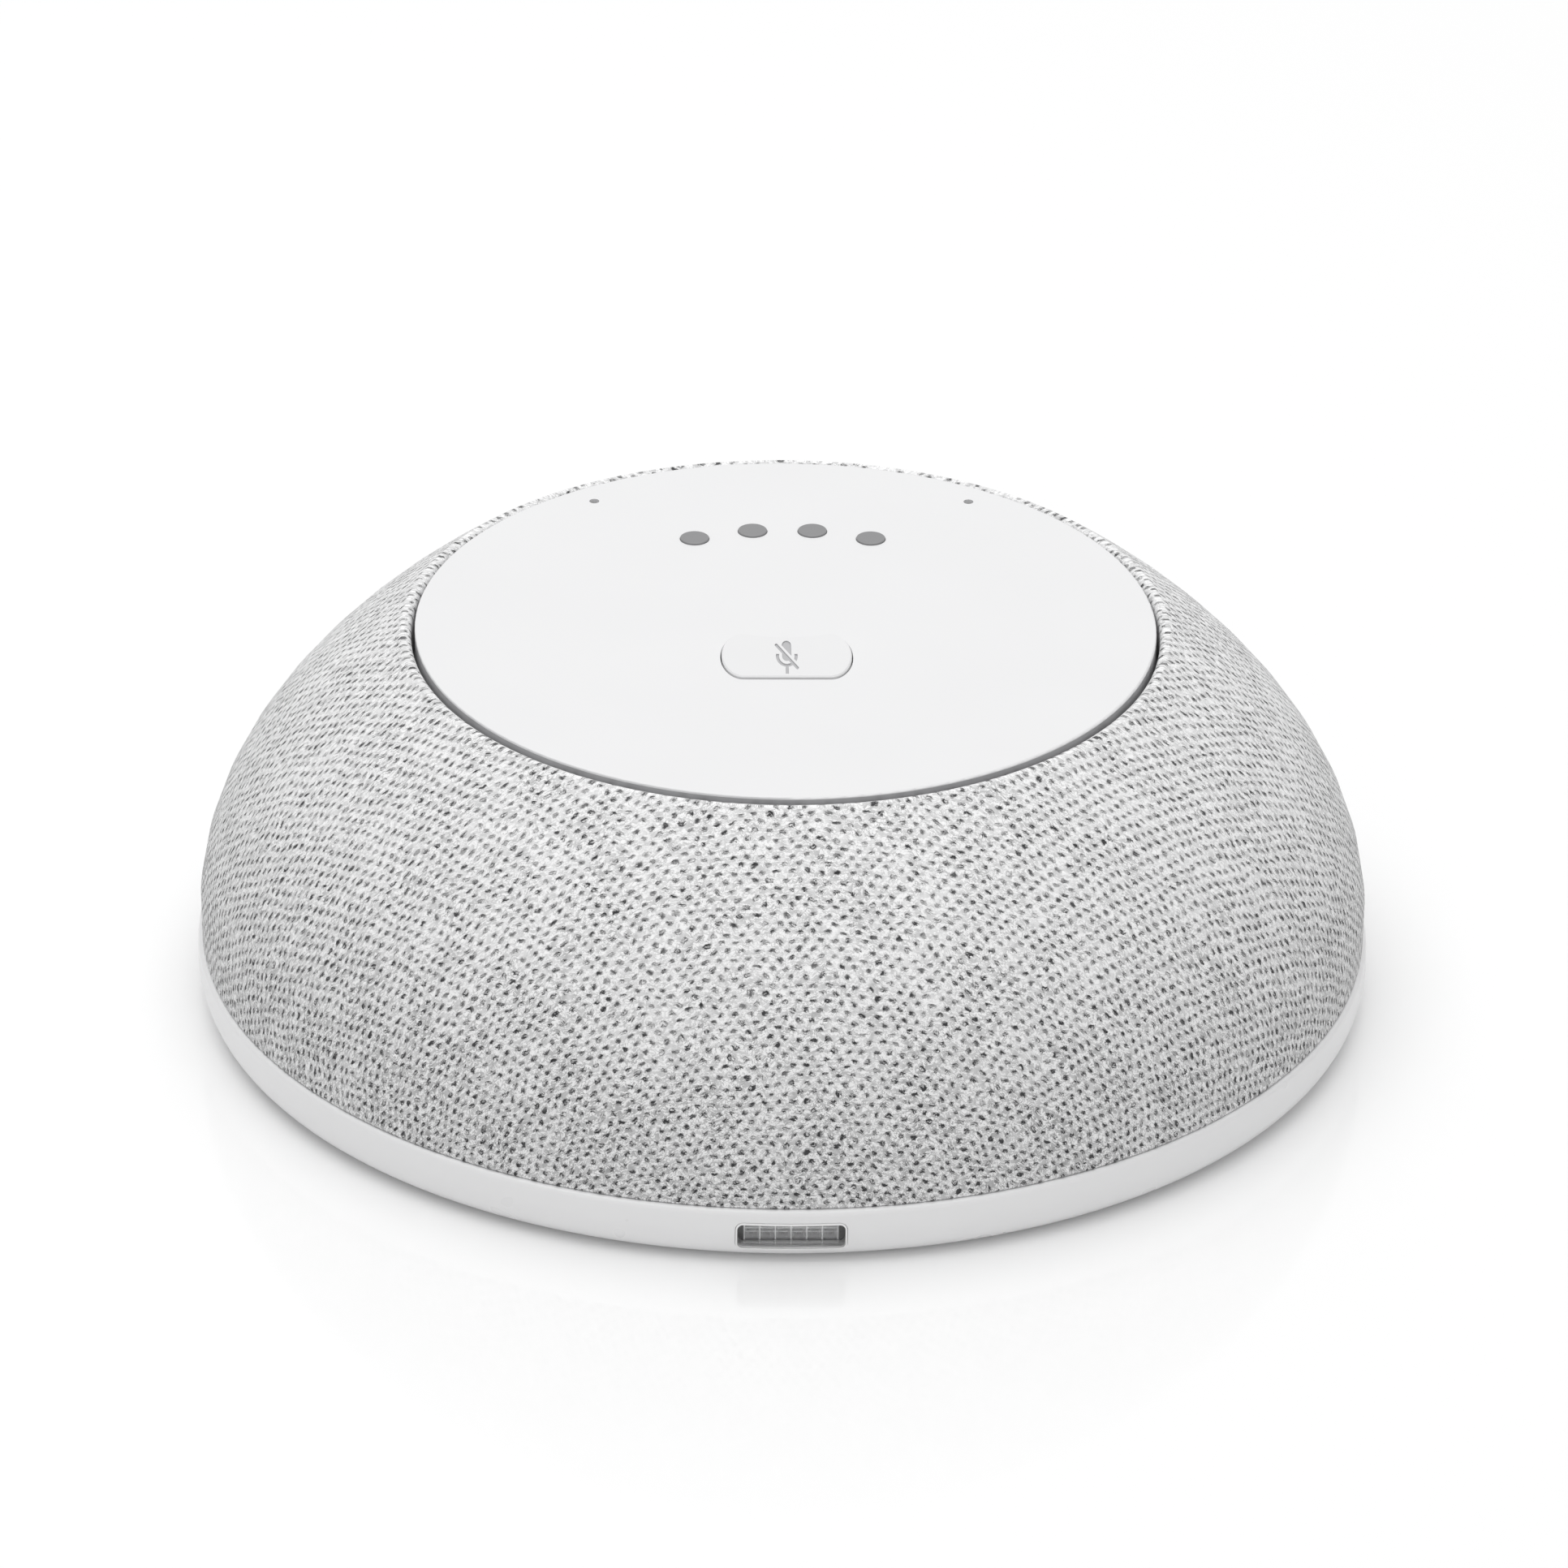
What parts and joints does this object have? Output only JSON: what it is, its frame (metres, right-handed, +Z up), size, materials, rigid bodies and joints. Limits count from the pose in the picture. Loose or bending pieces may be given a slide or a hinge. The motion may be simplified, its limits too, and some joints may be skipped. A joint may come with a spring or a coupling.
{
  "type": "smart speaker",
  "caption": "Low round table speaker: knit fabric dome over a rigid grille, plastic base with a light window, round top cover with status lights and a press button, sprung driver inside.",
  "frame": {"origin": "centre of the footprint on the table", "axes": "+Z up, -Y towards the front with the light window, +Y towards the power socket at the back, +X to the right seen from the front"},
  "size_m": [0.14, 0.1401, 0.0479],
  "materials": {
    "foot_rubber": "soft satin",
    "base_white": "satin gloss moulding",
    "screw_steel": "zinc plated",
    "bezel_white": "gloss",
    "lens_clear": "clear moulded",
    "reflector_silver": "vacuum metallised",
    "led_board_white": "solder mask",
    "led_body": "clear resin",
    "port_steel": "drawn steel",
    "port_tongue": "moulded",
    "board_green": "solder mask",
    "shield_tin": "tinned sheet",
    "pad_blue": "soft",
    "spreader_aluminium": "mill finish",
    "capacitor_can": "drawn can",
    "antenna_copper": "flexible film",
    "enclosure_black": "fine spark texture",
    "seal_foam": "closed-cell foam",
    "basket_black": "powder coat",
    "magnet_steel": "zinc plated",
    "ferrite_black": "ground ferrite",
    "spider_cloth": "resin-dipped cloth",
    "surround_rubber": "satin",
    "terminal_brown": "laminate",
    "coil_copper": "lacquered winding",
    "cone_paper": "coated paper",
    "lead_jacket": "insulated pair",
    "plug_white": "moulded",
    "ribbon_film": "flat film",
    "grille_grey": "moulded",
    "knit_grey": "mottled polyester knit",
    "cover_white": "satin",
    "trim_grey": "satin",
    "baffle_black": "moulded",
    "light_grey": "smoked diffuser",
    "capsule_metal": "nickel plated can",
    "button_white": "satin"
  },
  "bodies": {
    "housing": {"rubber_foot": "foot_rubber", "base_housing": "base_white", "base_screws": "screw_steel", "grille_screws": "screw_steel", "main_board_screws": "screw_steel", "enclosure_screws": "screw_steel", "driver_screws": "screw_steel", "frame_screws": "screw_steel", "top_cover_screws": "screw_steel", "window_bezel": "bezel_white", "window_lens": "lens_clear", "window_reflector": "reflector_silver", "window_led_board": "led_board_white", "window_leds": "led_body", "status_leds": "led_body", "power_port_shell": "port_steel", "power_port_tongue": "port_tongue", "main_board": "board_green", "top_board": "board_green", "soc_shield": "shield_tin", "thermal_pad": "pad_blue", "heat_spreader": "spreader_aluminium", "capacitors": "capacitor_can", "wifi_antennas": "antenna_copper", "enclosure_lower": "enclosure_black", "enclosure_upper": "enclosure_black", "acoustic_deflector": "enclosure_black", "enclosure_seal": "seal_foam", "driver_gasket": "seal_foam", "mic_seals": "seal_foam", "lead_grommet": "seal_foam", "driver_basket": "basket_black", "driver_yoke": "magnet_steel", "driver_top_plate": "magnet_steel", "driver_magnet": "ferrite_black", "driver_spider": "spider_cloth", "driver_surround": "surround_rubber", "driver_terminals": "terminal_brown", "speaker_lead": "lead_jacket", "speaker_lead_plug": "plug_white", "ribbon_sockets": "plug_white", "ribbon_cable": "ribbon_film", "grille_shell": "grille_grey", "fabric_retainer_ring": "grille_grey", "fabric_cover": "knit_grey", "top_frame": "grille_grey", "top_cover": "cover_white", "top_trim_ring": "trim_grey", "led_baffle": "baffle_black", "status_lenses": "light_grey", "mic_capsules": "capsule_metal", "mute_switch_body": "baffle_black", "switch_dome": "magnet_steel"},
    "mute_button": {"mute_button": "button_white"},
    "cone": {"speaker_cone": "cone_paper", "dust_cap": "cone_paper", "voice_coil": "coil_copper"}
  },
  "joints": [
    {"name": "mute_press", "type": "slide", "parent": "housing", "child": "mute_button", "axis": [0, 0, -1], "range_m": [0, 0.0003], "stiffness_N_per_m": 300, "deforming": ["switch_dome"]},
    {"name": "cone_travel", "type": "slide", "parent": "housing", "child": "cone", "axis": [0, 0, 1], "range_m": [-0.0012, 0.0012], "stiffness_N_per_m": 900, "deforming": ["driver_surround", "driver_spider"]}
  ]
}
